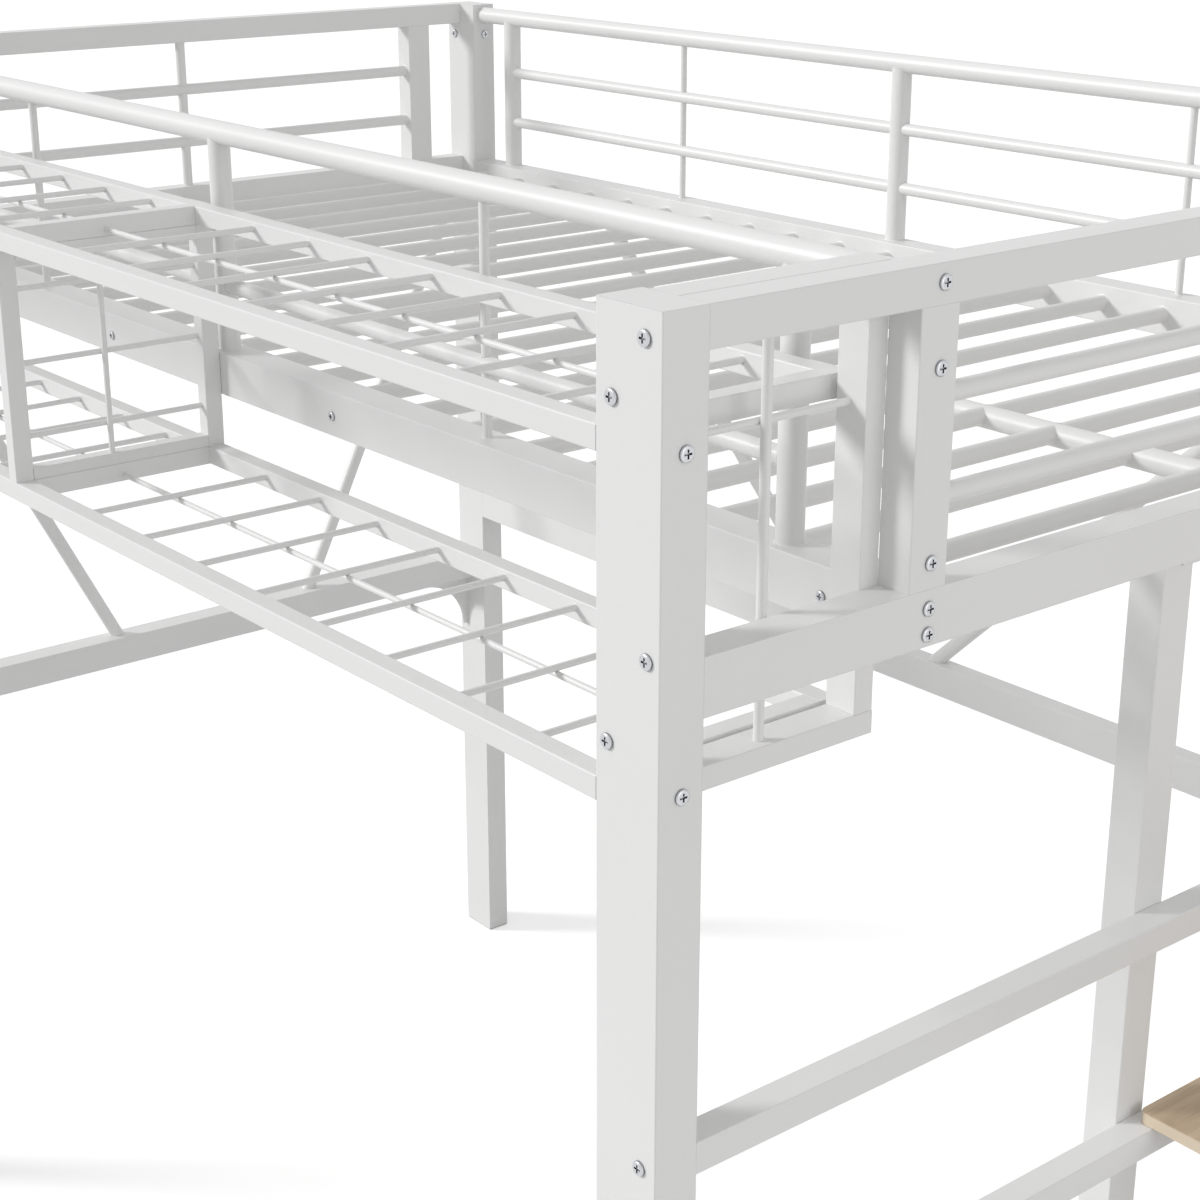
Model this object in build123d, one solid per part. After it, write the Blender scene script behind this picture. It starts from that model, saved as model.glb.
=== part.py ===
from build123d import *

import os

# Driving dimensions in millimetres. Pieces are drawn with the origin at the top outer corner of the near
# shelf-side post: x falls towards the far end, y grows towards the wall side, z falls towards the floor.
LENGTH = 1980.0          # bed, outer face of one end frame to outer face of the other
WIDTH = 1283.0           # shelf-side face to wall-side face
HEIGHT = 1633.0          # floor to the top of the posts
CORNER = 1.2             # rounding on the long edges of the square tubes

POST_X = 67.0            # post section along the bed
POST_Y = 39.5            # post section across the bed
FOOT = 3.0               # plastic glide showing under each post

END_DEPTH = 31.0         # end frame tubes, measured along the bed
TOP_RAIL = 30.0          # height of the end frame's top tube
RAIL_TOP = -239.3        # top of the bed rails on the shelf side and in the end frames
WALL_RAIL_TOP = -243.0   # top of the wall-side rail
WALL_RAIL_INSET = 6.0    # from the wall-side face of the posts to that rail
RAIL_HEIGHT = 45.0
RAIL_WIDTH = 38.5        # side rails, measured across the bed
SHELF_DEPTH = 235.5      # outer face of the bed posts to the outer face of the side rail beside the shelf
UPRIGHT = 38.5           # width of the inner uprights of an end frame
WALL_GAP = 61.0          # from the wall-side post to the upright next to it

BAR = 16.0               # round infill bars of the end frames and of the wall-side guard
BAR_HEIGHTS = (-99.0, -175.0)
SHELF_GUARD_BAR = -172.5 # height of the one bar in the guard beside the shelf
END_ROD = 14.0           # round upright bar of the end frames
GUARD = 24.0             # round top tube of the guards
SHELF_GUARD_POST = 23.0  # thick verticals of the guard beside the shelf
WALL_GUARD_POST = 26.0   # thick verticals of the wall-side guard
WALL_GUARD_LINE = 20.75  # from the wall-side face of the posts to the middle of that guard
GUARD_ROD = 9.0          # thin verticals of the guards
GUARD_AXIS = -16.0       # height of the guard tube's axis
GUARD_END = 144.0        # from the end face to the outer guard verticals
SHELF_GUARD_MIDDLE = -2.0    # middle vertical, along the bed from its middle
WALL_GUARD_MIDDLE = -11.0
SHELF_GUARD_RODS = (30.0, -6.0)    # thin verticals, from halfway between the middle and the outer ones
WALL_GUARD_RODS = (23.0, -15.0)

SLAT = 18.0
FIRST_SLAT = 104.0       # from the end face to the middle of the first slat
SLATS_EACH_SIDE = 10     # slats on either side of the middle one
SLAT_AXIS = -264.0
SPINE = 23.0             # round tube along the bed under the middle of the mattress
SPINE_AXIS = -265.5
SPINE_Y = 733.5          # from the shelf-side face

SHELF_TUBE = 19.0
UPPER_SHELF = -85.6      # top of the upper shelf's frame
LOWER_SHELF = -337.6     # top of the lower shelf's frame
WIRE = 6.0               # wires across the shelves and in the panels
LONG_WIRE = 5.5          # wires along the shelves
WIRE_DROP = 7.0          # from the top of a shelf's frame down to the middle of its cross wires
FIRST_WIRE = 74.5        # from the cross tube on the near side of each half to the first cross wire
LAST_WIRE = 115.1        # from the last cross wire to the cross tube on the far side of its half
WIRES_EACH_HALF = 8
PANEL_ROD = 8.0          # upright wire of a shelf end panel
PANEL_ROD_Y = 130.5      # from the shelf-side face
PANEL_DEPTH = 30.5       # shelf end panels, measured along the bed
DIVIDER_DEPTH = 17.0
DIVIDER_RAIL = 12.2

CROSS_BAR = 27.0         # square bars low in the near end
CROSS_BARS = (-616.0, -828.7)
LOW_BAR_TOP = -916.0     # bar low in the far end
LOW_BAR = (38.0, 44.0)
WALL_BAR_TOP = -801.0    # bar low in the wall side
WALL_BAR = (26.5, 44.3)
BRACE = 20.0             # round diagonal braces
BRACE_LINE = 15.0        # axis of the far end's braces, in from the end face
WALL_BRACE_LINE = 14.0   # axis of the wall side's braces, out from the posts' inner face
FAR_BRACES = (174.0, 488.0)    # foot and head of a far end brace, from the middle of the pair
FAR_BRACE_SHIFT = 110.0  # middle of that pair, from the middle of the end towards the wall side
NEAR_WALL_BRACE = (107.0, 634.0)    # foot and head of a wall side brace, from the middle of the bed
FAR_WALL_BRACE = (85.0, 612.0)
GUSSET = 90.0
GUSSET_ARM = 8.0         # width left at the tips of a gusset
GUSSET_PLATE = 3.0

LEG_X = 35.0             # middle leg of the near end
LEG_Y = 38.0
LEG_FROM = 573.0         # its near side, from the shelf-side face
LEG_PLATE = 4.0

DESK_REACH = 483.0       # desk board beyond the near end frame
DESK_LAP = 17.0          # desk board resting on the cross bar
DESK_WIDTH = 650.0
DESK_GAP = 2.5           # left between the board and the wall-side post
DESK_BOARD = 12.5
DESK_RADIUS = 9.0
DESK_TUBE = 20.0
DESK_LEG = 25.0
DESK_INSET = 40.0

SCREW_HEAD = 12.0
SCREW_PROUD = 2.5
RAIL_SCREW_END = 88.6    # screws in the rail beside the shelf, from the end faces
RAIL_SCREW_NEAR = 766.6
RAIL_SCREW_FAR = 759.0

MIDDLE = -LENGTH / 2
SHELF_BACK = SHELF_DEPTH - SHELF_TUBE
WALL_POST = WIDTH - POST_Y
WALL_UPRIGHT = WALL_POST - WALL_GAP
RAIL_BOTTOM = RAIL_TOP - RAIL_HEIGHT
WALL_RAIL_FACE = WIDTH - WALL_RAIL_INSET
GUARD_STEP = LENGTH / 2 - GUARD_END
SLAT_PITCH = (LENGTH / 2 - FIRST_SLAT) / SLATS_EACH_SIDE
HALF_SHELF = LENGTH / 2 - POST_X - SHELF_TUBE * 1.5
WIRE_PITCH = (HALF_SHELF - FIRST_WIRE - LAST_WIRE) / (WIRES_EACH_HALF - 1)
DESK_FROM = WALL_POST - DESK_GAP - DESK_WIDTH


def from_end(end, distance):
    """The x of a point this far in from the outer face of the near or the far end."""
    return -distance if end == "near" else distance - LENGTH


def beam(x, y, z, side=None):
    """A square-cut tube filling three spans, its long edges rounded, all four or the two towards one side."""
    spans = [sorted(span) for span in (x, y, z)]
    sizes = [high - low for low, high in spans]
    middle = [(high + low) / 2 for low, high in spans]
    solid = Pos(*middle) * Box(*sizes)
    run = (Axis.X, Axis.Y, Axis.Z)[sizes.index(max(sizes))]
    edges = solid.edges().filter_by(run)
    if side is not None:
        edges = edges.sort_by(side)[-2:]
    return fillet(edges, CORNER)


def rod(start, end, diameter):
    """A round bar between the centres of its two end faces."""
    run = Vector(*end) - Vector(*start)
    return extrude(Plane(origin=start, z_dir=run) * Circle(diameter / 2), run.length)


def cut(solid, *tools):
    """The solids left of one piece where others pass through it."""
    for tool in tools:
        solid = solid - tool
    return list(solid.solids())


def post(end, side):
    """Corner post: one rectangular tube from just above the floor to the top."""
    x = (from_end(end, 0), from_end(end, POST_X))
    y = (0, POST_Y) if side == "shelf" else (WALL_POST, WIDTH)
    outwards = -Axis.Y if side == "shelf" else Axis.Y
    return [beam(x, y, (FOOT - HEIGHT, 0), outwards)]


def feet():
    """Plastic glides pushed into the open ends of the four posts and of the middle leg."""
    glides = []
    for x in ((0, -POST_X), (-LENGTH, POST_X - LENGTH)):
        for y in ((0, POST_Y), (WALL_POST, WIDTH)):
            glides.append((x, y))
    glides.append(((-CROSS_BAR, -CROSS_BAR - LEG_X), (LEG_FROM, LEG_FROM + LEG_Y)))
    solids = []
    for x, y in glides:
        x, y = sorted(x), sorted(y)
        spans = ((x[0] + 1, x[1] - 1), (y[0] + 1, y[1] - 1), (-HEIGHT, FOOT - HEIGHT))
        solids.append(beam(*spans))
    return solids


def end_top_rail(end):
    """Tube across the top of an end frame, flush with the posts."""
    x = (from_end(end, 0), from_end(end, END_DEPTH))
    return [beam(x, (POST_Y, WALL_POST), (-TOP_RAIL, 0), Axis.Z)]


def end_lower_rail(end):
    """Deeper tube across an end frame at the height of the slats."""
    x = (from_end(end, 0), from_end(end, END_DEPTH))
    return [beam(x, (POST_Y, WALL_POST), (RAIL_BOTTOM, RAIL_TOP), -Axis.Z)]


def end_uprights(end):
    """Two uprights between the rails of an end frame: one where the shelf begins, one near the wall-side post."""
    out = Axis.X if end == "near" else -Axis.X
    x = (from_end(end, 0), from_end(end, END_DEPTH))
    solids = []
    for y in (SHELF_DEPTH, WALL_UPRIGHT - UPRIGHT):
        solid = beam(x, (y, y + UPRIGHT), (RAIL_TOP, -TOP_RAIL), out)
        solids.append(solid)
    return solids


def end_bars(end):
    """Two round bars between the uprights of an end frame."""
    x = from_end(end, END_DEPTH / 2)
    low, high = SHELF_DEPTH + UPRIGHT, WALL_UPRIGHT - UPRIGHT
    return [rod((x, low, z), (x, high, z), BAR) for z in BAR_HEIGHTS]


def end_rod(end):
    """Round upright bar halfway along an end frame, in three lengths between the rails and the round bars."""
    x = from_end(end, END_DEPTH / 2)
    y = (SHELF_DEPTH + POST_Y + WALL_UPRIGHT) / 2 + 20
    return cut(rod((x, y, RAIL_TOP), (x, y, -TOP_RAIL), END_ROD), *end_bars(end))


def near_end_cross_bars():
    """Two square bars across the near end, below the slats; the lower one carries the desk board."""
    return [
        beam((0, -CROSS_BAR), (POST_Y, WALL_POST), (top - CROSS_BAR, top)) for top in CROSS_BARS
    ]


def middle_leg():
    """Leg behind the cross bars of the near end, under a small plate on the end frame's lower rail."""
    x = (-CROSS_BAR, -CROSS_BAR - LEG_X)
    y = (LEG_FROM, LEG_FROM + LEG_Y)
    top = RAIL_BOTTOM - LEG_PLATE
    return [beam(x, y, (FOOT - HEIGHT, top))]


def leg_plate():
    """Steel plate joining the middle leg to the underside of the lower rail."""
    x = (-4, -CROSS_BAR - LEG_X)
    y = (LEG_FROM - 8, LEG_FROM + LEG_Y + 8)
    return [beam(x, y, (RAIL_BOTTOM - LEG_PLATE, RAIL_BOTTOM))]


def far_end_low_bar():
    """Rectangular tube low across the far end, between the posts."""
    x = (from_end("far", 0), from_end("far", LOW_BAR[0]))
    return [beam(x, (POST_Y, WALL_POST), (LOW_BAR_TOP - LOW_BAR[1], LOW_BAR_TOP))]


def cut_to_opening(bar, y, z):
    """A slanting bar with its ends cut by the sides of the opening that it stands in."""
    room = Pos(MIDDLE, sum(y) / 2, sum(z) / 2) * Box(2 * LENGTH, y[1] - y[0], z[1] - z[0])
    return list((bar & room).solids())


def far_end_braces():
    """Two round diagonal braces of the far end, spreading from the low bar up to the end frame's lower rail."""
    x = from_end("far", BRACE_LINE)
    centre = (POST_Y + WALL_POST) / 2 + FAR_BRACE_SHIFT
    solids = []
    for way in (-1, 1):
        foot = Vector(x, centre + way * FAR_BRACES[0], LOW_BAR_TOP)
        head = Vector(x, centre + way * FAR_BRACES[1], RAIL_BOTTOM)
        run = (head - foot) * 0.1
        bar = rod(tuple(foot - run), tuple(head + run), BRACE)
        solids += cut_to_opening(bar, (POST_Y, WALL_POST), (LOW_BAR_TOP, RAIL_BOTTOM))
    return solids


def gusset_plates():
    """Curved corner plates welded under the far end's low bar, one against each post."""
    x = from_end("far", BRACE_LINE - GUSSET_PLATE / 2)
    top = LOW_BAR_TOP - LOW_BAR[1]
    solids = []
    for corner, way in ((POST_Y, 1), (WALL_POST, -1)):
        square = Pos(corner + way * GUSSET / 2, top - GUSSET / 2) * Rectangle(GUSSET, GUSSET)
        hollow = Pos(corner + way * GUSSET, top - GUSSET) * Circle(GUSSET - GUSSET_ARM)
        face = Plane(origin=(x, 0, 0), x_dir=(0, 1, 0), z_dir=(1, 0, 0)) * (square - hollow)
        solids += list(extrude(face, GUSSET_PLATE).solids())
    return solids


def wall_low_bar():
    """Rectangular tube low along the wall side, between the posts."""
    y = (WALL_POST, WALL_POST + WALL_BAR[0])
    x = (-LENGTH + POST_X, -POST_X)
    return [beam(x, y, (WALL_BAR_TOP - WALL_BAR[1], WALL_BAR_TOP))]


def wall_braces():
    """Two round diagonal braces of the wall side, spreading from the low bar up to the side rail."""
    y = WALL_POST + WALL_BRACE_LINE
    solids = []
    for way, places in ((-1, FAR_WALL_BRACE), (1, NEAR_WALL_BRACE)):
        foot = Vector(MIDDLE + way * places[0], y, WALL_BAR_TOP)
        head = Vector(MIDDLE + way * places[1], y, WALL_RAIL_TOP - RAIL_HEIGHT)
        run = (head - foot) * 0.1
        bar = rod(tuple(foot - run), tuple(head + run), BRACE)
        solids += cut_to_opening(bar, (WALL_POST, WIDTH), (WALL_BAR_TOP, WALL_RAIL_TOP - RAIL_HEIGHT))
    return solids


def shelf_side_rail():
    """Side rail next to the shelf, between the backs of the two end frames."""
    x = (-LENGTH + END_DEPTH, -END_DEPTH)
    return [beam(x, (SHELF_DEPTH, SHELF_DEPTH + RAIL_WIDTH), (RAIL_BOTTOM, RAIL_TOP))]


def wall_side_rail():
    """Side rail on the wall side, between the two posts and set in a little from their outer faces."""
    x = (-LENGTH + POST_X, -POST_X)
    z = (WALL_RAIL_TOP - RAIL_HEIGHT, WALL_RAIL_TOP)
    return [beam(x, (WALL_RAIL_FACE - RAIL_WIDTH, WALL_RAIL_FACE), z)]


def spine_tube():
    """Round tube along the middle of the bed, end frame to end frame."""
    z = SPINE_AXIS
    return [rod((-LENGTH + END_DEPTH, SPINE_Y, z), (-END_DEPTH, SPINE_Y, z), SPINE)]


def slats():
    """Round slats across the bed, each in two lengths welded to the side rails and to the middle tube."""
    spine = spine_tube()[0]
    inner = (SHELF_DEPTH + RAIL_WIDTH, WALL_RAIL_FACE - RAIL_WIDTH)
    solids = []
    for step in range(-SLATS_EACH_SIDE, SLATS_EACH_SIDE + 1):
        x = MIDDLE + step * SLAT_PITCH
        for edge in inner:
            solids += cut(rod((x, edge, SLAT_AXIS), (x, SPINE_Y, SLAT_AXIS), SLAT), spine)
    return solids


def guard_line(side):
    """The y of a guard's tubes, and where along the bed its top tube starts and stops."""
    if side == "shelf":
        return SHELF_DEPTH + RAIL_WIDTH / 2, END_DEPTH
    return WIDTH - WALL_GUARD_LINE, POST_X


def guard_tube(side):
    """Round top tube of a guard."""
    y, end = guard_line(side)
    return [rod((-LENGTH + end, y, GUARD_AXIS), (-end, y, GUARD_AXIS), GUARD)]


def guard_posts(side):
    """Three thick round verticals between a guard's top tube and the side rail."""
    y, _ = guard_line(side)
    tube = guard_tube(side)[0]
    low, size, middle = RAIL_TOP, SHELF_GUARD_POST, SHELF_GUARD_MIDDLE
    if side == "wall":
        low, size, middle = WALL_RAIL_TOP, WALL_GUARD_POST, WALL_GUARD_MIDDLE
    solids = []
    for offset in (-GUARD_STEP, middle, GUARD_STEP):
        x = MIDDLE + offset
        upright = rod((x, y, low), (x, y, GUARD_AXIS - 5), size)
        solids += cut(upright, tube)
    return solids


def guard_bars(side):
    """Round bars running between the thick verticals of a guard: two on the wall side, one beside the shelf."""
    y, _ = guard_line(side)
    uprights = guard_posts(side)
    solids = []
    for z in BAR_HEIGHTS if side == "wall" else (SHELF_GUARD_BAR,):
        bar = rod((MIDDLE - GUARD_STEP, y, z), (MIDDLE + GUARD_STEP, y, z), BAR)
        solids += cut(bar, *uprights)
    return solids


def guard_rods(side):
    """Two thin rods, each about halfway between two thick verticals of a guard."""
    y, _ = guard_line(side)
    others, low, shifts = guard_tube(side) + guard_bars(side), RAIL_TOP, SHELF_GUARD_RODS
    if side == "wall":
        low, shifts = WALL_RAIL_TOP, WALL_GUARD_RODS
    solids = []
    for way, shift_along in zip((1, -1), shifts):
        x = MIDDLE + way * GUARD_STEP / 2 + shift_along
        upright = rod((x, y, low), (x, y, GUARD_AXIS - 5), GUARD_ROD)
        solids += cut(upright, *others)
    return solids


def shelf_frame(top):
    """Frame of one shelf: two long tubes, one cross tube at each end and one in the middle."""
    z = (top - SHELF_TUBE, top)
    x = (-LENGTH + POST_X, -POST_X)
    solids = [beam(x, (0, SHELF_TUBE), z), beam(x, (SHELF_BACK, SHELF_DEPTH), z)]
    for centre in (-POST_X - SHELF_TUBE / 2, MIDDLE, POST_X + SHELF_TUBE / 2 - LENGTH):
        across = (centre - SHELF_TUBE / 2, centre + SHELF_TUBE / 2)
        solids.append(beam(across, (SHELF_TUBE, SHELF_BACK), z))
    return solids


def shelf_halves():
    """Where the two halves of a shelf start and stop along the bed, between its cross tubes."""
    near, far = -POST_X - SHELF_TUBE, POST_X + SHELF_TUBE - LENGTH
    return ((near, MIDDLE + SHELF_TUBE / 2), (MIDDLE - SHELF_TUBE / 2, far))


def cross_wires(top):
    """Wires across one shelf, in both halves, between its two long tubes."""
    z = top - WIRE_DROP
    solids = []
    for start, _ in shelf_halves():
        for step in range(WIRES_EACH_HALF):
            x = start - FIRST_WIRE - step * WIRE_PITCH
            solids.append(rod((x, SHELF_TUBE, z), (x, SHELF_BACK, z), WIRE))
    return solids


def long_wires(top):
    """Two wires along the middle of one shelf, under the cross wires, one in each half."""
    z = top - WIRE_DROP - (WIRE + LONG_WIRE) / 2
    y = SHELF_DEPTH / 2
    return [rod((start, y, z), (stop, y, z), LONG_WIRE) for start, stop in shelf_halves()]


def end_panel(end):
    """Upright frame closing the end of both shelves, fixed behind the end frame."""
    x = (from_end(end, END_DEPTH), from_end(end, END_DEPTH + PANEL_DEPTH))
    low = LOWER_SHELF - SHELF_TUBE
    solids = [
        beam(x, (POST_Y, SHELF_DEPTH), (-SHELF_TUBE, 0)),
        beam(x, (POST_Y, SHELF_DEPTH), (low, LOWER_SHELF)),
    ]
    for y in (POST_Y, SHELF_BACK):
        solids.append(beam(x, (y, y + SHELF_TUBE), (LOWER_SHELF, -SHELF_TUBE)))
    return solids


def end_panel_wires(end):
    """Wires of an end panel: two across, and one upright lying against their outer side."""
    x = from_end(end, END_DEPTH + PANEL_DEPTH / 2 + WIRE / 2)
    upright_x = from_end(end, END_DEPTH + PANEL_DEPTH / 2 - PANEL_ROD / 2)
    low, high = POST_Y + SHELF_TUBE, SHELF_BACK
    y = PANEL_ROD_Y
    across = []
    for z in (-102.0, LOWER_SHELF - SHELF_TUBE + 102.0):
        across.append(rod((x, low, z), (x, high, z), WIRE))
    return across + [rod((upright_x, y, LOWER_SHELF), (upright_x, y, -SHELF_TUBE), PANEL_ROD)]


def divider_frame():
    """Upright frame between the two shelves at the middle of the bed."""
    front = MIDDLE + SHELF_TUBE / 2
    x = (front - DIVIDER_DEPTH, front)
    top, low = UPPER_SHELF - SHELF_TUBE, LOWER_SHELF
    solids = [beam(x, (y, y + SHELF_TUBE), (low, top)) for y in (0, SHELF_BACK)]
    for z in ((low, low + DIVIDER_RAIL), (top - DIVIDER_RAIL, top)):
        solids.append(beam(x, (SHELF_TUBE, SHELF_BACK), z))
    return solids


def divider_wires():
    """Wires of the middle frame: three across, and one upright lying against their near side."""
    x = MIDDLE + SHELF_TUBE / 2 - DIVIDER_DEPTH / 2 - WIRE / 2
    y = SHELF_BACK / 2
    high = UPPER_SHELF - SHELF_TUBE - DIVIDER_RAIL
    low = LOWER_SHELF + DIVIDER_RAIL
    across = []
    for step in (-1, 0, 1):
        z = (high + low) / 2 + step * 74.0
        across.append(rod((x, SHELF_TUBE, z), (x, SHELF_BACK, z), WIRE))
    return across + [rod((x + WIRE, y, low), (x + WIRE, y, high), WIRE)]


def desk_board():
    """Wooden desk top with rounded corners, its back edge resting on the lower cross bar."""
    low = CROSS_BARS[1]
    x, y = (DESK_REACH - DESK_LAP) / 2, DESK_FROM + DESK_WIDTH / 2
    outline = Pos(x, y) * RectangleRounded(DESK_REACH + DESK_LAP, DESK_WIDTH, DESK_RADIUS)
    board = extrude(Plane.XY.offset(low) * outline, DESK_BOARD)
    rim = board.faces().sort_by(Axis.Z)[-1].edges() + board.faces().sort_by(Axis.Z)[0].edges()
    return [chamfer(rim, 0.8)]


def desk_leg_spans():
    """The plan spans of the two outer desk legs."""
    x = (DESK_REACH - DESK_INSET - DESK_LEG, DESK_REACH - DESK_INSET)
    left = DESK_FROM + DESK_INSET
    right = DESK_FROM + DESK_WIDTH - DESK_INSET - DESK_LEG
    return [(x, (y, y + DESK_LEG)) for y in (left, right)]


def desk_legs():
    """Two square legs under the outer corners of the desk, with their glides left flush."""
    return [beam(x, y, (-HEIGHT, CROSS_BARS[1])) for x, y in desk_leg_spans()]


def desk_frame():
    """Square tubes under the desk board: one from each leg back to the cross bar, one between the legs."""
    top = CROSS_BARS[1]
    z = (top - DESK_TUBE, top)
    spans = desk_leg_spans()
    gap = (DESK_LEG - DESK_TUBE) / 2
    solids = [beam((0, x[0]), (y[0] + gap, y[1] - gap), z) for x, y in spans]
    x = (spans[0][0][0] + gap, spans[0][0][1] - gap)
    solids.append(beam(x, (spans[0][1][1], spans[1][1][0]), z))
    return solids


def desk_foot_bar():
    """Square tube between the two desk legs, low down."""
    spans = desk_leg_spans()
    gap = (DESK_LEG - DESK_TUBE) / 2
    x = (spans[0][0][0] + gap, spans[0][0][1] - gap)
    low = 120 - HEIGHT
    return [beam(x, (spans[0][1][1], spans[1][1][0]), (low, low + DESK_TUBE))]


def screw(at, out, head=SCREW_HEAD, proud=SCREW_PROUD):
    """Pan head screw seen on a face: a domed head with a cross recess."""
    plane = Plane(origin=at, z_dir=out)
    body = extrude(Circle(head / 2), proud)
    body = fillet(body.edges().sort_by(Axis.Z)[-1], proud * 0.6)
    slot = head * 0.55
    cross = Box(slot, head * 0.13, proud) + Box(head * 0.13, slot, proud)
    body = body - Pos(0, 0, proud) * cross
    return list((plane * body).solids())


def post_screws():
    """Screws through the outer faces of the four posts, and two inside the far wall-side one."""
    on_side = ((17, -19.5), (50, -64), (13, -237), (54, -307), (17, -629))
    on_end = (-95, -336)
    solids = []
    for end in ("near", "far"):
        out = (1, 0, 0) if end == "near" else (-1, 0, 0)
        for y, side in ((0, (0, -1, 0)), (WIDTH, (0, 1, 0))):
            for distance, z in on_side:
                solids += screw((from_end(end, distance), y, z), side)
        for y in (20.5, WIDTH - 20.5):
            for z in on_end:
                solids += screw((from_end(end, 0), y, z), out)
    solids += screw((from_end("far", 16.5), WALL_POST, -47), (0, -1, 0))
    solids += screw((from_end("far", POST_X), WIDTH - 18, -46), (1, 0, 0))
    return solids


def upright_screws():
    """Screws through the inner upright of each end frame into the shelf's end panel and the side rail."""
    solids = []
    y = SHELF_DEPTH + 21.5
    for end in ("near", "far"):
        out = (1, 0, 0) if end == "near" else (-1, 0, 0)
        for z in (-14, -75, -219, -254, -274):
            solids += screw((from_end(end, 0), y, z), out)
    return solids


def rail_screws():
    """Smaller screws in the outer face of the side rail next to the shelf."""
    solids = []
    for x in (-RAIL_SCREW_END, -RAIL_SCREW_NEAR, RAIL_SCREW_FAR - LENGTH, RAIL_SCREW_END - LENGTH):
        solids += screw((x, SHELF_DEPTH, -264), (0, -1, 0), 9, 2)
    return solids


def all_nodes():
    """Every named piece of the bed with its solids."""
    nodes = {}
    for end in ("near", "far"):
        for side in ("shelf", "wall"):
            nodes[f"{end}_{side}_post"] = post(end, side)
        nodes[f"{end}_end_top_rail"] = end_top_rail(end)
        nodes[f"{end}_end_lower_rail"] = end_lower_rail(end)
        nodes[f"{end}_end_uprights"] = end_uprights(end)
        nodes[f"{end}_end_bars"] = end_bars(end)
        nodes[f"{end}_end_rod"] = end_rod(end)
        nodes[f"{end}_end_panel"] = end_panel(end)
        nodes[f"{end}_end_panel_wires"] = end_panel_wires(end)
    nodes["post_feet"] = feet()
    nodes["near_end_cross_bars"] = near_end_cross_bars()
    nodes["middle_leg"] = middle_leg()
    nodes["middle_leg_plate"] = leg_plate()
    nodes["far_end_low_bar"] = far_end_low_bar()
    nodes["far_end_braces"] = far_end_braces()
    nodes["far_end_gussets"] = gusset_plates()
    nodes["wall_side_low_bar"] = wall_low_bar()
    nodes["wall_side_braces"] = wall_braces()
    nodes["shelf_side_rail"] = shelf_side_rail()
    nodes["wall_side_rail"] = wall_side_rail()
    nodes["spine_tube"] = spine_tube()
    nodes["slats"] = slats()
    for side in ("shelf", "wall"):
        nodes[f"{side}_guard_tube"] = guard_tube(side)
        nodes[f"{side}_guard_posts"] = guard_posts(side)
        nodes[f"{side}_guard_rods"] = guard_rods(side)
    nodes["wall_guard_bars"] = guard_bars("wall")
    nodes["shelf_guard_bar"] = guard_bars("shelf")
    for name, top in (("upper", UPPER_SHELF), ("lower", LOWER_SHELF)):
        nodes[f"{name}_shelf_frame"] = shelf_frame(top)
        nodes[f"{name}_shelf_cross_wires"] = cross_wires(top)
        nodes[f"{name}_shelf_long_wires"] = long_wires(top)
    nodes["shelf_divider"] = divider_frame()
    nodes["shelf_divider_wires"] = divider_wires()
    nodes["desk_board"] = desk_board()
    nodes["desk_frame"] = desk_frame()
    nodes["desk_legs"] = desk_legs()
    nodes["desk_foot_bar"] = desk_foot_bar()
    nodes["post_screws"] = post_screws()
    nodes["upright_screws"] = upright_screws()
    nodes["side_rail_screws"] = rail_screws()
    return nodes


os.makedirs("parts", exist_ok=True)
nodes = all_nodes()
whole = Compound(children=[s for solids in nodes.values() for s in solids]).bounding_box()
shift = Pos(-whole.center().X, -whole.center().Y, -whole.min.Z)
print("shift", -whole.center().X, -whole.center().Y, -whole.min.Z, "size", whole.size)
for name, solids in nodes.items():
    group = Compound(children=[shift * Solid(s.wrapped) for s in solids])
    export_step(group, f"parts/{name}.step")
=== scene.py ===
import math

import bpy
import numpy as np
from mathutils import Matrix, Vector


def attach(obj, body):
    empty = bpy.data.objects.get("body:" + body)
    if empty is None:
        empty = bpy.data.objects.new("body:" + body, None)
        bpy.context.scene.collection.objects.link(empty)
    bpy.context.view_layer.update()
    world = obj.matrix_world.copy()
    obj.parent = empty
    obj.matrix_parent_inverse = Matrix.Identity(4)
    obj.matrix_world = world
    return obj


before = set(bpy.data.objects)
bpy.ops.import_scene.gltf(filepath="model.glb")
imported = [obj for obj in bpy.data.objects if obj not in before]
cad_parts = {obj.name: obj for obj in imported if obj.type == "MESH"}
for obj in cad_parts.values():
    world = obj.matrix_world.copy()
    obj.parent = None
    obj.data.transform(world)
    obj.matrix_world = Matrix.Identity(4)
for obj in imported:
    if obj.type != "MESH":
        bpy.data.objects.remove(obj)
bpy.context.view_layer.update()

# The camera looks down on the near end and the shelf side of the bed from a little above its top,
# with a fairly narrow lens, as for a catalogue picture.
view_angle = math.radians(30.0)
sensor_width = 36.0
eye = Vector((1.78975, -1.5353, 1.9295))
ahead = Vector((-0.7320, 0.5936, -0.3344)).normalized()
right = Vector((0.6299, 0.7767, 0.0)).normalized()
up = right.cross(ahead).normalized()
camera_data = bpy.data.cameras.new("camera")
camera_data.sensor_width = sensor_width
camera_data.lens = sensor_width / (2 * math.tan(view_angle / 2))
camera_data.clip_end = 60.0
camera = bpy.data.objects.new("camera", camera_data)
bpy.context.collection.objects.link(camera)
camera.matrix_world = Matrix((
    (right.x, up.x, -ahead.x, eye.x),
    (right.y, up.y, -ahead.y, eye.y),
    (right.z, up.z, -ahead.z, eye.z),
    (0, 0, 0, 1),
))
bpy.context.scene.camera = camera

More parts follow.
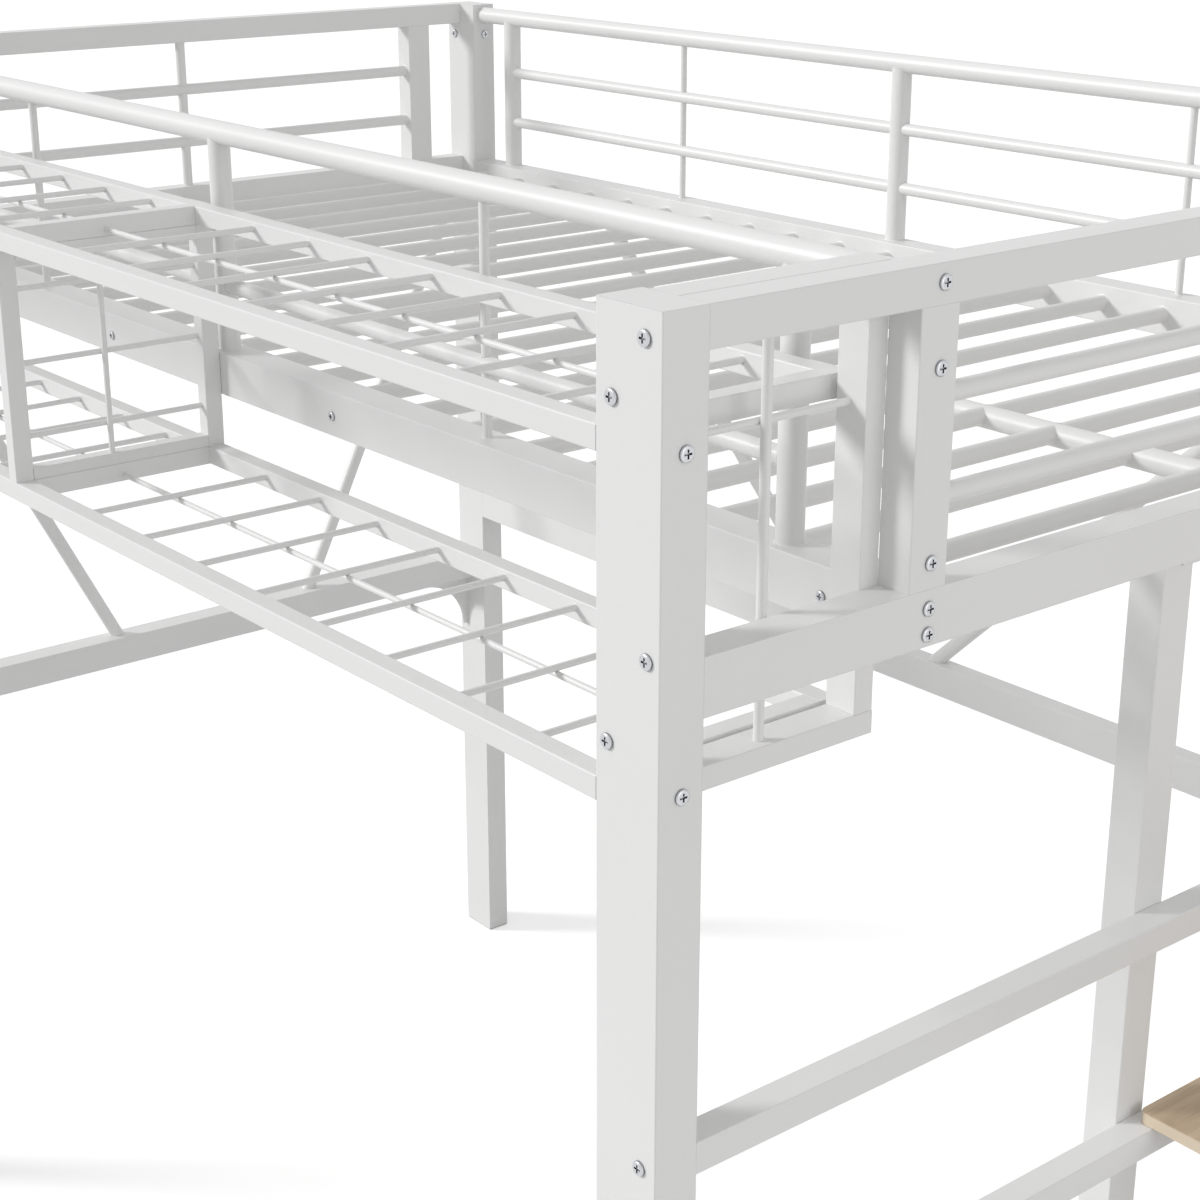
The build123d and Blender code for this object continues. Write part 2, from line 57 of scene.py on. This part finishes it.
# The welded frame: posts, end frames, rails, guards, bars and braces of thin-walled steel tube, ground
# smooth where it shows and sprayed with white powder, which is baked into one satin coat. The coat lies a
# little unevenly and has a fine orange-peel skin. Its sharp edges are a shade greyer, partly because the
# coat is thinner there and partly as painted shade for the dark line that runs along each tube corner.
coat = bpy.data.node_groups.new("powder_coat", "ShaderNodeTree")
for socket, kind, start in (
    ("Colour", "NodeSocketColor", (0.8, 0.8, 0.79, 1.0)),
    ("Edge Colour", "NodeSocketColor", (0.6, 0.6, 0.6, 1.0)),
    ("Edge Width", "NodeSocketFloat", 0.001),
    ("Peel Scale", "NodeSocketFloat", 420.0),
    ("Gloss", "NodeSocketFloat", 0.38),
):
    coat.interface.new_socket(socket, in_out="INPUT", socket_type=kind).default_value = start
for socket, kind in (
    ("Colour", "NodeSocketColor"), ("Roughness", "NodeSocketFloat"), ("Height", "NodeSocketFloat"),
):
    coat.interface.new_socket(socket, in_out="OUTPUT", socket_type=kind)
given = coat.nodes.new("NodeGroupInput")
result = coat.nodes.new("NodeGroupOutput")
place = coat.nodes.new("ShaderNodeTexCoord")

cloud = coat.nodes.new("ShaderNodeTexNoise")
cloud.inputs["Scale"].default_value = 3.1
cloud.inputs["Detail"].default_value = 4.0
coat.links.new(place.outputs["Object"], cloud.inputs["Vector"])
thickness = coat.nodes.new("ShaderNodeMapRange")
thickness.inputs["From Min"].default_value = 0.3
thickness.inputs["From Max"].default_value = 0.7
thickness.inputs["To Min"].default_value = 0.965
thickness.inputs["To Max"].default_value = 1.0
coat.links.new(cloud.outputs["Fac"], thickness.inputs["Value"])
clouded = coat.nodes.new("ShaderNodeMix")
clouded.data_type = "RGBA"
clouded.blend_type = "MULTIPLY"
clouded.inputs["Factor"].default_value = 1.0
coat.links.new(given.outputs["Colour"], clouded.inputs["A"])
coat.links.new(thickness.outputs["Result"], clouded.inputs["B"])

# Partly painted shade: the sharp edges found here turn greyer, for the thin coat and for the dark line of
# shade along each tube corner.
rounded = coat.nodes.new("ShaderNodeBevel")
rounded.samples = 4
coat.links.new(given.outputs["Edge Width"], rounded.inputs["Radius"])
surface = coat.nodes.new("ShaderNodeNewGeometry")
alike = coat.nodes.new("ShaderNodeVectorMath")
alike.operation = "DOT_PRODUCT"
coat.links.new(rounded.outputs["Normal"], alike.inputs[0])
coat.links.new(surface.outputs["Normal"], alike.inputs[1])
edge = coat.nodes.new("ShaderNodeMapRange")
edge.inputs["From Min"].default_value = 0.985
edge.inputs["From Max"].default_value = 0.86
coat.links.new(alike.outputs["Value"], edge.inputs["Value"])
patches = coat.nodes.new("ShaderNodeTexNoise")
patches.inputs["Scale"].default_value = 60.0
patches.inputs["Detail"].default_value = 3.0
coat.links.new(place.outputs["Object"], patches.inputs["Vector"])
patchy = coat.nodes.new("ShaderNodeMapRange")
patchy.inputs["From Min"].default_value = 0.35
patchy.inputs["From Max"].default_value = 0.65
patchy.inputs["To Min"].default_value = 0.55
coat.links.new(patches.outputs["Fac"], patchy.inputs["Value"])
thin_coat_and_shade_edge = coat.nodes.new("ShaderNodeMath")
thin_coat_and_shade_edge.operation = "MULTIPLY"
coat.links.new(edge.outputs["Result"], thin_coat_and_shade_edge.inputs[0])
coat.links.new(patchy.outputs["Result"], thin_coat_and_shade_edge.inputs[1])
painted = coat.nodes.new("ShaderNodeMix")
painted.data_type = "RGBA"
coat.links.new(thin_coat_and_shade_edge.outputs["Value"], painted.inputs["Factor"])
coat.links.new(clouded.outputs["Result"], painted.inputs["A"])
coat.links.new(given.outputs["Edge Colour"], painted.inputs["B"])
coat.links.new(painted.outputs["Result"], result.inputs["Colour"])

peel = coat.nodes.new("ShaderNodeTexNoise")
peel.inputs["Detail"].default_value = 2.0
coat.links.new(place.outputs["Object"], peel.inputs["Vector"])
coat.links.new(given.outputs["Peel Scale"], peel.inputs["Scale"])
coat.links.new(peel.outputs["Fac"], result.inputs["Height"])
sheen = coat.nodes.new("ShaderNodeMapRange")
sheen.inputs["To Min"].default_value = -0.05
sheen.inputs["To Max"].default_value = 0.09
coat.links.new(patches.outputs["Fac"], sheen.inputs["Value"])
gloss = coat.nodes.new("ShaderNodeMath")
gloss.operation = "ADD"
coat.links.new(given.outputs["Gloss"], gloss.inputs[0])
coat.links.new(sheen.outputs["Result"], gloss.inputs[1])
coat.links.new(gloss.outputs["Value"], result.inputs["Roughness"])


def coated(name, colour, edge_colour, edge_width, peel_scale, gloss_value, bump_depth):
    """A finish sprayed with the powder coat: its colours, the width of its greyer edges (thin coat and
    painted shade), and its skin.
    """
    finish = bpy.data.materials.new(name)
    finish.use_nodes = True
    tree = finish.node_tree
    shader = tree.nodes["Principled BSDF"]
    spray = tree.nodes.new("ShaderNodeGroup")
    spray.node_tree = coat
    spray.inputs["Colour"].default_value = (*colour, 1.0)
    spray.inputs["Edge Colour"].default_value = (*edge_colour, 1.0)
    spray.inputs["Edge Width"].default_value = edge_width
    spray.inputs["Peel Scale"].default_value = peel_scale
    spray.inputs["Gloss"].default_value = gloss_value
    skin = tree.nodes.new("ShaderNodeBump")
    skin.inputs["Strength"].default_value = 0.35
    skin.inputs["Distance"].default_value = bump_depth
    tree.links.new(spray.outputs["Colour"], shader.inputs["Base Color"])
    tree.links.new(spray.outputs["Roughness"], shader.inputs["Roughness"])
    tree.links.new(spray.outputs["Height"], skin.inputs["Height"])
    tree.links.new(skin.outputs["Normal"], shader.inputs["Normal"])
    return finish


def finish_pieces(names, finish):
    """Gives the named pieces this finish, in place of the plain one that they arrive with."""
    for name in names:
        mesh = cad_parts[name].data
        mesh.materials.clear()
        mesh.materials.append(finish)


frame_paint = coated("frame_paint", (0.80, 0.80, 0.795), (0.58, 0.58, 0.58), 0.0011, 420.0, 0.38, 0.00022)
frame_nodes = [
    "middle_leg", "middle_leg_plate", "near_end_cross_bars", "far_end_low_bar", "far_end_braces",
    "far_end_gussets", "wall_side_low_bar", "wall_side_braces", "shelf_side_rail", "wall_side_rail",
    "wall_guard_bars", "shelf_guard_bar", "upper_shelf_frame", "lower_shelf_frame", "shelf_divider",
    "desk_frame", "desk_legs", "desk_foot_bar",
]
for end in ("near", "far"):
    frame_nodes += [f"{end}_shelf_post", f"{end}_wall_post", f"{end}_end_top_rail", f"{end}_end_lower_rail"]
    frame_nodes += [f"{end}_end_uprights", f"{end}_end_bars", f"{end}_end_rod", f"{end}_end_panel"]
for side in ("shelf", "wall"):
    frame_nodes += [f"{side}_guard_tube", f"{side}_guard_posts", f"{side}_guard_rods"]
finish_pieces(frame_nodes, frame_paint)

# The deck: twenty-one round tubes across the bed, each in two lengths that are welded to one tube along it,
# with the same white powder, a little thicker and duller because it is sprayed from above and below only;
# its colour is a shade greyer and warmer than the frame's, which is painted shade.
slat_paint = coated("slat_paint", (0.79, 0.79, 0.78), (0.60, 0.60, 0.60), 0.0008, 360.0, 0.42, 0.00025)
finish_pieces(("slats", "spine_tube"), slat_paint)

# The shelf and panel wires: drawn steel wire, spot-welded where two of them cross, under the same coat,
# which has a coarser skin on so thin a rod.
wire_paint = coated("wire_paint", (0.81, 0.81, 0.805), (0.66, 0.66, 0.66), 0.0005, 520.0, 0.34, 0.00015)
wire_nodes = ["near_end_panel_wires", "far_end_panel_wires", "shelf_divider_wires"]
for shelf in ("upper", "lower"):
    wire_nodes += [f"{shelf}_shelf_cross_wires", f"{shelf}_shelf_long_wires"]
finish_pieces(wire_nodes, wire_paint)

# The welds: a narrow fillet bead runs round the end of each round bar where it meets a tube, laid down in
# small overlapping ripples and coated with the rest.
points_round = 16
points_across = 5
ripples = 7
ripple_depth = 0.12  # as a share of the bead's size
bite = 0.0002        # how far a bead reaches into its bar


def weld_beads(name, starts, directions, radius, size, seat=None):
    """Rings of weld metal round bar ends. Round the bar by one angle, the bead's inner circle has the given
    radius less the bite; across the bead by a second angle, its surface is a hollow quarter circle from the
    face that the bar stands on up to the bar's side. Its size ripples with the cosine of a multiple of the
    first angle. seat gives how far a rounded face lies behind the start at each place."""
    starts = np.asarray(starts, dtype=float)
    directions = np.asarray(directions, dtype=float)
    turn = np.linspace(0.0, 2 * np.pi, points_round + 1)[:-1]
    across = np.linspace(0.0, np.pi / 2, points_across)
    ring, arc = np.meshgrid(turn, across, indexing="ij")
    swell = size * (1.0 + ripple_depth * np.cos(ripples * ring))
    out = radius + swell * (1.0 - np.sin(arc)) - bite
    rise = swell * (1.0 - np.cos(arc))
    helper = np.where(
        np.abs(directions[:, 2:3]) > 0.5, np.array([[1.0, 0.0, 0.0]]), np.array([[0.0, 0.0, 1.0]])
    )
    side = np.cross(helper, directions)
    points = (
        starts[:, None, None, :]
        + helper[:, None, None, :] * (np.cos(ring) * out)[None, :, :, None]
        + side[:, None, None, :] * (np.sin(ring) * out)[None, :, :, None]
    )
    lift = np.broadcast_to(rise, (len(starts),) + rise.shape)
    if seat is not None:
        lift = lift - seat(points, starts[:, None, None, :])
    points = points + directions[:, None, None, :] * lift[..., None]
    count, rows, columns = lift.shape
    index = np.arange(count * rows * columns).reshape(count, rows, columns)
    following = np.roll(index, -1, axis=1)
    quads = np.stack(
        [index[:, :, :-1], index[:, :, 1:], following[:, :, 1:], following[:, :, :-1]], axis=-1
    ).reshape(-1, 4)
    bead_mesh = bpy.data.meshes.new(name)
    bead_mesh.from_pydata(points.reshape(-1, 3).tolist(), [], quads.tolist())
    bead_mesh.polygons.foreach_set("use_smooth", np.ones(len(quads), dtype=bool))
    bead_mesh.materials.append(frame_paint)
    beads = bpy.data.objects.new(name, bead_mesh)
    bpy.context.collection.objects.link(beads)
    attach(beads, "root")


# The slats' outer welds: the flat end of each slat stands on the inner face of a side rail, and one small
# bead goes round it.
slat_count = 21
slat_pitch = 0.0886
slat_radius = 0.009
slat_weld = 0.0018
slat_z = 1.369
middle_slat_x = -0.24025
shelf_rail_face_y = -0.3675
wall_rail_face_y = 0.5970
slat_x = middle_slat_x + slat_pitch * np.arange(-(slat_count // 2), slat_count // 2 + 1)
to_wall = np.tile([0.0, 1.0, 0.0], (slat_count, 1))


def slat_ends(y):
    """The middle of each slat's end on the upright face at y."""
    return np.stack([slat_x, np.full(slat_count, y), np.full(slat_count, slat_z)], axis=1)


weld_beads("slat_welds_shelf_side", slat_ends(shelf_rail_face_y), to_wall, slat_radius, slat_weld)
weld_beads("slat_welds_wall_side", slat_ends(wall_rail_face_y), -to_wall, slat_radius, slat_weld)

# The slats' inner welds: both lengths of a slat end on the round tube along the middle of the deck, and
# their beads follow its curve.
spine_radius = 0.0115
spine_grip = 0.0113  # just inside that radius, where the curve is still met
spine_weld = 0.0013
spine_y = 0.092
spine_z = 1.3675


def spine_face(points, start):
    """How far the middle tube's round face lies behind its foremost line, at each height."""
    height = np.clip(points[..., 2] - spine_z, -spine_grip, spine_grip)
    return spine_radius - np.sqrt(spine_radius ** 2 - height ** 2)


for side, way in (("shelf", -1.0), ("wall", 1.0)):
    weld_beads(
        f"spine_welds_{side}_side", slat_ends(spine_y + way * spine_radius), way * to_wall,
        slat_radius, spine_weld, spine_face,
    )

# The guards' welds: the thick and the thin verticals of each guard stand on a side rail, with a heavier
# bead round the thick ones.
far_guard_post_x = -1.08625
near_guard_post_x = 0.60575
guard_post_weld = 0.0022
guard_rod_radius = 0.0045
guard_rod_weld = 0.0015
for side, foot_y, foot_z, middle_post_x, post_radius, rods_x in (
    ("shelf", -0.38675, 1.3937, -0.24225, 0.0115, (0.21275, -0.66925)),
    ("wall", 0.62075, 1.3900, -0.25125, 0.0130, (0.20575, -0.67825)),
):
    post_feet = [(x, foot_y, foot_z) for x in (far_guard_post_x, middle_post_x, near_guard_post_x)]
    rod_feet = [(x, foot_y, foot_z) for x in rods_x]
    weld_beads(f"{side}_guard_post_welds", post_feet, [(0, 0, 1)] * 3, post_radius, guard_post_weld)
    weld_beads(f"{side}_guard_rod_welds", rod_feet, [(0, 0, 1)] * 2, guard_rod_radius, guard_rod_weld)

# The end frames' welds: the two bars of an end run from upright to upright, and its rod from the lower rail
# to the top rail, with a bead at each of those ends.
end_axes_x = (0.73425, -1.21475)
bar_radius = 0.008
bar_weld = 0.0016
bars_z = (1.534, 1.458)
upright_faces_y = (-0.3675, 0.5025)
bar_ends = [(x, y, z) for x in end_axes_x for y in upright_faces_y for z in bars_z]
weld_beads(
    "end_bar_welds", bar_ends, [(0, 1 if y < 0 else -1, 0) for _, y, _ in bar_ends], bar_radius, bar_weld,
)

end_rod_radius = 0.007
end_rod_weld = 0.0015
end_rod_y = 0.10725
end_rod_foot_z = 1.3937
end_rod_head_z = 1.603
rod_ends = [(x, end_rod_y, z) for x in end_axes_x for z in (end_rod_foot_z, end_rod_head_z)]
weld_beads(
    "end_rod_welds", rod_ends, [(0, 0, 1 if z < end_rod_head_z else -1) for _, _, z in rod_ends],
    end_rod_radius, end_rod_weld,
)

# The shelf wires' welds: each cross wire ends on the inner faces of a shelf's front and back tubes. The
# beads are 0.25 mm larger in radius than the wires, and lie 0.5 mm below the wires' own middle.
wires_each_half = 8
wire_pitch = 0.1007
first_wire = 0.0745
half_starts_x = (0.66375, -0.24975)
wire_bead_radius = 0.00325
wire_weld = 0.0011
front_face_y = -0.6225
back_face_y = -0.4250
wire_x = np.concatenate([
    start - first_wire - wire_pitch * np.arange(wires_each_half) for start in half_starts_x
])
wire_count = len(wire_x)
for name, z in (("upper", 1.5399), ("lower", 1.2879)):
    for edge_name, y, way in (("front", front_face_y, 1.0), ("back", back_face_y, -1.0)):
        weld_beads(
            f"{name}_wire_welds_{edge_name}",
            np.stack([wire_x, np.full(wire_count, y), np.full(wire_count, z)], axis=1),
            np.tile([0.0, way, 0.0], (wire_count, 1)), wire_bead_radius, wire_weld,
        )

# The screws: steel pan heads with a cross recess, formed cold and zinc-plated bright, a little scuffed by
# the driver, with painted shade, near black, down in the recess.
zinc = bpy.data.materials.new("screw_zinc")
zinc.use_nodes = True
tree = zinc.node_tree
shader = tree.nodes["Principled BSDF"]
shader.inputs["Metallic"].default_value = 1.0
place = tree.nodes.new("ShaderNodeTexCoord")
grain = tree.nodes.new("ShaderNodeTexNoise")
grain.inputs["Scale"].default_value = 900.0
grain.inputs["Detail"].default_value = 4.0
tree.links.new(place.outputs["Object"], grain.inputs["Vector"])
# Painted shade: ambient occlusion turns the zinc's colour towards near black down in the cross recess.
recess_shade = tree.nodes.new("ShaderNodeAmbientOcclusion")
recess_shade.samples = 6
recess_shade.inputs["Distance"].default_value = 0.004
tone = tree.nodes.new("ShaderNodeValToRGB")
tone.color_ramp.elements[0].position = 0.35
tone.color_ramp.elements[0].color = (0.08, 0.08, 0.085, 1.0)
tone.color_ramp.elements[1].position = 0.9
tone.color_ramp.elements[1].color = (0.55, 0.56, 0.58, 1.0)
tree.links.new(recess_shade.outputs["AO"], tone.inputs["Fac"])
tree.links.new(tone.outputs["Color"], shader.inputs["Base Color"])
scuff = tree.nodes.new("ShaderNodeMapRange")
scuff.inputs["To Min"].default_value = 0.22
scuff.inputs["To Max"].default_value = 0.42
tree.links.new(grain.outputs["Fac"], scuff.inputs["Value"])
tree.links.new(scuff.outputs["Result"], shader.inputs["Roughness"])
relief = tree.nodes.new("ShaderNodeBump")
relief.inputs["Strength"].default_value = 0.3
relief.inputs["Distance"].default_value = 0.00005
tree.links.new(grain.outputs["Fac"], relief.inputs["Height"])
tree.links.new(relief.outputs["Normal"], shader.inputs["Normal"])
finish_pieces(("post_screws", "upright_screws", "side_rail_screws"), zinc)

# The glides: moulded polyethylene plugs pushed into the open ends of the legs, matt and faintly cloudy.
glide_plastic = bpy.data.materials.new("foot_plastic")
glide_plastic.use_nodes = True
tree = glide_plastic.node_tree
shader = tree.nodes["Principled BSDF"]
place = tree.nodes.new("ShaderNodeTexCoord")
cloudy = tree.nodes.new("ShaderNodeTexNoise")
cloudy.inputs["Scale"].default_value = 160.0
cloudy.inputs["Detail"].default_value = 5.0
tree.links.new(place.outputs["Object"], cloudy.inputs["Vector"])
tone = tree.nodes.new("ShaderNodeValToRGB")
tone.color_ramp.elements[0].color = (0.55, 0.55, 0.54, 1.0)
tone.color_ramp.elements[1].color = (0.72, 0.72, 0.71, 1.0)
tree.links.new(cloudy.outputs["Fac"], tone.inputs["Fac"])
tree.links.new(tone.outputs["Color"], shader.inputs["Base Color"])
dull = tree.nodes.new("ShaderNodeMapRange")
dull.inputs["To Min"].default_value = 0.5
dull.inputs["To Max"].default_value = 0.7
tree.links.new(cloudy.outputs["Fac"], dull.inputs["Value"])
tree.links.new(dull.outputs["Result"], shader.inputs["Roughness"])
relief = tree.nodes.new("ShaderNodeBump")
relief.inputs["Strength"].default_value = 0.2
relief.inputs["Distance"].default_value = 0.0001
tree.links.new(cloudy.outputs["Fac"], relief.inputs["Height"])
tree.links.new(relief.outputs["Normal"], shader.inputs["Normal"])
finish_pieces(("post_feet",), glide_plastic)

# The desk board: chipboard with a pale oak face, its grain running across the bed, and a plainer, paler
# band glued round its edges; satin lacquer over both, with fine open pores.
oak = bpy.data.materials.new("desk_wood")
oak.use_nodes = True
tree = oak.node_tree
shader = tree.nodes["Principled BSDF"]
place = tree.nodes.new("ShaderNodeTexCoord")
along = tree.nodes.new("ShaderNodeMapping")
along.inputs["Scale"].default_value = (22.0, 1.3, 22.0)
tree.links.new(place.outputs["Object"], along.inputs["Vector"])
rings = tree.nodes.new("ShaderNodeTexNoise")
rings.inputs["Scale"].default_value = 1.6
rings.inputs["Detail"].default_value = 7.0
rings.inputs["Distortion"].default_value = 0.9
tree.links.new(along.outputs["Vector"], rings.inputs["Vector"])
figure = tree.nodes.new("ShaderNodeValToRGB")
figure.color_ramp.elements[0].position = 0.3
figure.color_ramp.elements[0].color = (0.42, 0.30, 0.185, 1.0)
figure.color_ramp.elements[1].position = 0.68
figure.color_ramp.elements[1].color = (0.64, 0.50, 0.345, 1.0)
tree.links.new(rings.outputs["Fac"], figure.inputs["Fac"])
fine = tree.nodes.new("ShaderNodeMapping")
fine.inputs["Scale"].default_value = (900.0, 24.0, 900.0)
tree.links.new(place.outputs["Object"], fine.inputs["Vector"])
pores = tree.nodes.new("ShaderNodeTexNoise")
pores.inputs["Scale"].default_value = 1.0
pores.inputs["Detail"].default_value = 3.0
tree.links.new(fine.outputs["Vector"], pores.inputs["Vector"])
pore_tone = tree.nodes.new("ShaderNodeMapRange")
pore_tone.inputs["From Min"].default_value = 0.3
pore_tone.inputs["From Max"].default_value = 0.45
pore_tone.inputs["To Min"].default_value = 0.8
tree.links.new(pores.outputs["Fac"], pore_tone.inputs["Value"])
grained = tree.nodes.new("ShaderNodeMix")
grained.data_type = "RGBA"
grained.blend_type = "MULTIPLY"
grained.inputs["Factor"].default_value = 1.0
tree.links.new(figure.outputs["Color"], grained.inputs["A"])
tree.links.new(pore_tone.outputs["Result"], grained.inputs["B"])
facing = tree.nodes.new("ShaderNodeNewGeometry")
upright = tree.nodes.new("ShaderNodeSeparateXYZ")
tree.links.new(facing.outputs["Normal"], upright.inputs["Vector"])
level = tree.nodes.new("ShaderNodeMath")
level.operation = "ABSOLUTE"
tree.links.new(upright.outputs["Z"], level.inputs[0])
banded = tree.nodes.new("ShaderNodeMapRange")
banded.inputs["From Min"].default_value = 0.5
banded.inputs["From Max"].default_value = 0.6
tree.links.new(level.outputs["Value"], banded.inputs["Value"])
faced = tree.nodes.new("ShaderNodeMix")
faced.data_type = "RGBA"
faced.inputs["A"].default_value = (0.70, 0.59, 0.45, 1.0)
tree.links.new(banded.outputs["Result"], faced.inputs["Factor"])
tree.links.new(grained.outputs["Result"], faced.inputs["B"])
tree.links.new(faced.outputs["Result"], shader.inputs["Base Color"])
lacquer = tree.nodes.new("ShaderNodeMapRange")
lacquer.inputs["To Min"].default_value = 0.52
lacquer.inputs["To Max"].default_value = 0.36
tree.links.new(pores.outputs["Fac"], lacquer.inputs["Value"])
tree.links.new(lacquer.outputs["Result"], shader.inputs["Roughness"])
relief = tree.nodes.new("ShaderNodeBump")
relief.inputs["Strength"].default_value = 0.4
relief.inputs["Distance"].default_value = 0.0001
tree.links.new(pores.outputs["Fac"], relief.inputs["Height"])
tree.links.new(relief.outputs["Normal"], shader.inputs["Normal"])
finish_pieces(("desk_board",), oak)

# The studio: a wide pale floor that the camera sees as a white ground with the bed's soft shadow on it,
# an even white sky, one broad main light from the upper left and a weaker light panel off the near end.
floor_reach = 30.0


def seen_rays(tree):
    """The socket that is 1 for camera, glossy and transmission rays, which see a white studio, and 0 for
    the rays that carry its light to the bed."""
    rays = tree.nodes.new("ShaderNodeLightPath")
    seen = tree.nodes.new("ShaderNodeMath")
    seen.operation = "MAXIMUM"
    tree.links.new(rays.outputs["Is Camera Ray"], seen.inputs[0])
    tree.links.new(rays.outputs["Is Glossy Ray"], seen.inputs[1])
    clear = tree.nodes.new("ShaderNodeMath")
    clear.operation = "MAXIMUM"
    tree.links.new(seen.outputs["Value"], clear.inputs[0])
    tree.links.new(rays.outputs["Is Transmission Ray"], clear.inputs[1])
    return clear.outputs["Value"]


floor_mesh = bpy.data.meshes.new("studio_floor")
corners = [(-1, -1), (1, -1), (1, 1), (-1, 1)]
floor_mesh.from_pydata([(floor_reach * x, floor_reach * y, 0) for x, y in corners], [], [(0, 1, 2, 3)])
floor = bpy.data.objects.new("studio_floor", floor_mesh)
bpy.context.collection.objects.link(floor)
floor_paint = bpy.data.materials.new("floor_paint")
floor_paint.use_nodes = True
tree = floor_paint.node_tree
shader = tree.nodes["Principled BSDF"]
shader.inputs["Roughness"].default_value = 0.8
shader.inputs["Specular IOR Level"].default_value = 0.0
clear = seen_rays(tree)
ground = tree.nodes.new("ShaderNodeMix")
ground.data_type = "RGBA"
ground.inputs["A"].default_value = (0.62, 0.62, 0.62, 1.0)
ground.inputs["B"].default_value = (0.97, 0.97, 0.97, 1.0)
tree.links.new(clear, ground.inputs["Factor"])
tree.links.new(ground.outputs["Result"], shader.inputs["Base Color"])
shader.inputs["Emission Color"].default_value = (1.0, 1.0, 1.0, 1.0)
glow = tree.nodes.new("ShaderNodeMath")
glow.operation = "MULTIPLY"
glow.inputs[1].default_value = 0.3
tree.links.new(clear, glow.inputs[0])
tree.links.new(glow.outputs["Value"], shader.inputs["Emission Strength"])
floor.data.materials.append(floor_paint)

sky = bpy.data.worlds.new("studio_sky")
sky.use_nodes = True
tree = sky.node_tree
background = tree.nodes["Background"]
background.inputs["Color"].default_value = (1.0, 1.0, 1.0, 1.0)
clear = seen_rays(tree)
strength = tree.nodes.new("ShaderNodeMapRange")
strength.inputs["To Min"].default_value = 0.55
strength.inputs["To Max"].default_value = 1.0
tree.links.new(clear, strength.inputs["Value"])
tree.links.new(strength.outputs["Result"], background.inputs["Strength"])
bpy.context.scene.world = sky

main_way = Vector((1.19, 1.30, -0.86))
main = bpy.data.lights.new("main_light", "SUN")
main.energy = 1.98
main.angle = math.radians(14)
main_lamp = bpy.data.objects.new("main_light", main)
bpy.context.collection.objects.link(main_lamp)
main_lamp.rotation_euler = main_way.to_track_quat("-Z", "Y").to_euler()

panel_way = Vector((-3.5, 0.0, -0.7))
panel = bpy.data.lights.new("side_light", "AREA")
panel.energy = 27.0
panel.size = 2.2
panel_lamp = bpy.data.objects.new("side_light", panel)
bpy.context.collection.objects.link(panel_lamp)
panel_lamp.location = (4.2, 0.1, 1.9)
panel_lamp.rotation_euler = panel_way.to_track_quat("-Z", "Y").to_euler()
panel_lamp.visible_camera = False
bpy.context.scene.view_settings.view_transform = "Standard"
